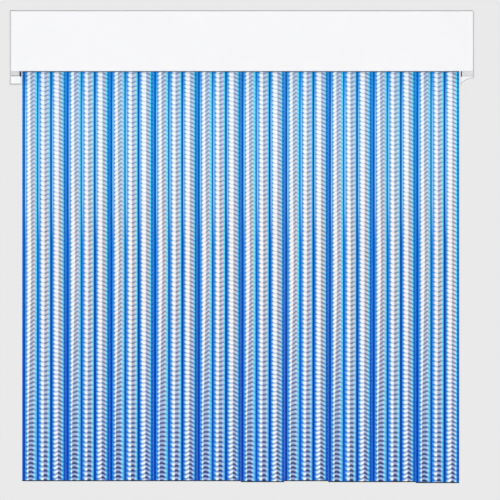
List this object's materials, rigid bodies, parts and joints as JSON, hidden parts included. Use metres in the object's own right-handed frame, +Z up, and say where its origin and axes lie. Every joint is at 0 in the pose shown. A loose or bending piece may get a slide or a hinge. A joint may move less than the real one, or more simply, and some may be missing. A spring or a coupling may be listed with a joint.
{
  "type": "pvc door curtain",
  "caption": "Door curtain of blue and white twisted-cord PVC strips hanging side by side from a rod inside a white boxed pelmet, each strip free to swing.",
  "frame": {"origin": "centre of the wall rail's back face in width, at half the height of the pelmet's front; this face goes against the wall above the door", "axes": "+Z up, +X to the right as seen from the front, the pelmet's front faces -Y and the wall is at +Y"},
  "size_m": [0.955, 0.11, 0.9733],
  "materials": {
    "cover_white_pvc": "smooth white PVC sheet, satin gloss",
    "bracket_white_pvc": "moulded white plastic, satin gloss",
    "strip_blue_white_pvc": "glossy soft PVC, pearly white twisted cords on blue webs",
    "rail_aluminium": "mill finish extrusion",
    "hanger_aluminium": "mill finish extrusion",
    "rod_steel": "drawn bright steel",
    "zinc_steel": "zinc plated",
    "rivet_steel": "plated, satin",
    "grey_nylon": "moulded nylon, matt"
  },
  "bodies": {
    "head": {"wall_rail": "rail_aluminium", "swing_rod": "rod_steel", "end_bracket_left": "bracket_white_pvc", "rod_bush_left": "grey_nylon", "rod_collar_left": "grey_nylon", "rod_hook_left": "zinc_steel", "end_bracket_right": "bracket_white_pvc", "rod_bush_right": "grey_nylon", "rod_collar_right": "grey_nylon", "rod_hook_right": "zinc_steel", "spacer_1": "grey_nylon", "spacer_2": "grey_nylon", "spacer_3": "grey_nylon", "spacer_4": "grey_nylon", "spacer_5": "grey_nylon", "spacer_6": "grey_nylon", "spacer_7": "grey_nylon", "end_bracket_left_screw_1": "zinc_steel", "end_bracket_left_screw_2": "zinc_steel", "end_bracket_right_screw_1": "zinc_steel", "end_bracket_right_screw_2": "zinc_steel", "rod_hook_left_screw_1": "zinc_steel", "rod_hook_left_screw_2": "zinc_steel", "rod_hook_right_screw_1": "zinc_steel", "rod_hook_right_screw_2": "zinc_steel", "cover_clip_1": "zinc_steel", "cover_clip_2": "zinc_steel", "cover_clip_3": "zinc_steel"},
    "cover": {"front_cover": "cover_white_pvc"},
    "hanging_strip_01": {"strip_01": "strip_blue_white_pvc", "hanger_01": "hanger_aluminium", "rivet_01": "rivet_steel"},
    "hanging_strip_02": {"strip_02": "strip_blue_white_pvc", "hanger_02": "hanger_aluminium", "rivet_02": "rivet_steel"},
    "hanging_strip_03": {"strip_03": "strip_blue_white_pvc", "hanger_03": "hanger_aluminium", "rivet_03": "rivet_steel"},
    "hanging_strip_04": {"strip_04": "strip_blue_white_pvc", "hanger_04": "hanger_aluminium", "rivet_04": "rivet_steel"},
    "hanging_strip_05": {"strip_05": "strip_blue_white_pvc", "hanger_05": "hanger_aluminium", "rivet_05": "rivet_steel"},
    "hanging_strip_06": {"strip_06": "strip_blue_white_pvc", "hanger_06": "hanger_aluminium", "rivet_06": "rivet_steel"},
    "hanging_strip_07": {"strip_07": "strip_blue_white_pvc", "hanger_07": "hanger_aluminium", "rivet_07": "rivet_steel"},
    "hanging_strip_08": {"strip_08": "strip_blue_white_pvc", "hanger_08": "hanger_aluminium", "rivet_08": "rivet_steel"},
    "hanging_strip_09": {"strip_09": "strip_blue_white_pvc", "hanger_09": "hanger_aluminium", "rivet_09": "rivet_steel"},
    "hanging_strip_10": {"strip_10": "strip_blue_white_pvc", "hanger_10": "hanger_aluminium", "rivet_10": "rivet_steel"}
  },
  "joints": [
    {"name": "cover_pull", "type": "slide", "parent": "head", "child": "cover", "axis": [0, -1, 0], "range_m": [0, 0.095]},
    {"name": "strip_swing_01", "type": "hinge", "parent": "head", "child": "hanging_strip_01", "pos_m": [-0.4075, -0.055, -0.0248], "axis": [1, 0, 0], "range_deg": [-40, 40]},
    {"name": "strip_swing_02", "type": "hinge", "parent": "head", "child": "hanging_strip_02", "pos_m": [-0.3175, -0.055, -0.0248], "axis": [1, 0, 0], "range_deg": [-40, 40]},
    {"name": "strip_swing_03", "type": "hinge", "parent": "head", "child": "hanging_strip_03", "pos_m": [-0.2275, -0.055, -0.0248], "axis": [1, 0, 0], "range_deg": [-40, 40]},
    {"name": "strip_swing_04", "type": "hinge", "parent": "head", "child": "hanging_strip_04", "pos_m": [-0.1375, -0.055, -0.0248], "axis": [1, 0, 0], "range_deg": [-40, 40]},
    {"name": "strip_swing_05", "type": "hinge", "parent": "head", "child": "hanging_strip_05", "pos_m": [-0.0475, -0.055, -0.0248], "axis": [1, 0, 0], "range_deg": [-40, 40]},
    {"name": "strip_swing_06", "type": "hinge", "parent": "head", "child": "hanging_strip_06", "pos_m": [0.0425, -0.055, -0.0248], "axis": [1, 0, 0], "range_deg": [-40, 40]},
    {"name": "strip_swing_07", "type": "hinge", "parent": "head", "child": "hanging_strip_07", "pos_m": [0.1325, -0.055, -0.0248], "axis": [1, 0, 0], "range_deg": [-40, 40]},
    {"name": "strip_swing_08", "type": "hinge", "parent": "head", "child": "hanging_strip_08", "pos_m": [0.2225, -0.055, -0.0248], "axis": [1, 0, 0], "range_deg": [-40, 40]},
    {"name": "strip_swing_09", "type": "hinge", "parent": "head", "child": "hanging_strip_09", "pos_m": [0.3125, -0.055, -0.0248], "axis": [1, 0, 0], "range_deg": [-40, 40]},
    {"name": "strip_swing_10", "type": "hinge", "parent": "head", "child": "hanging_strip_10", "pos_m": [0.4025, -0.055, -0.0248], "axis": [1, 0, 0], "range_deg": [-40, 40]}
  ]
}
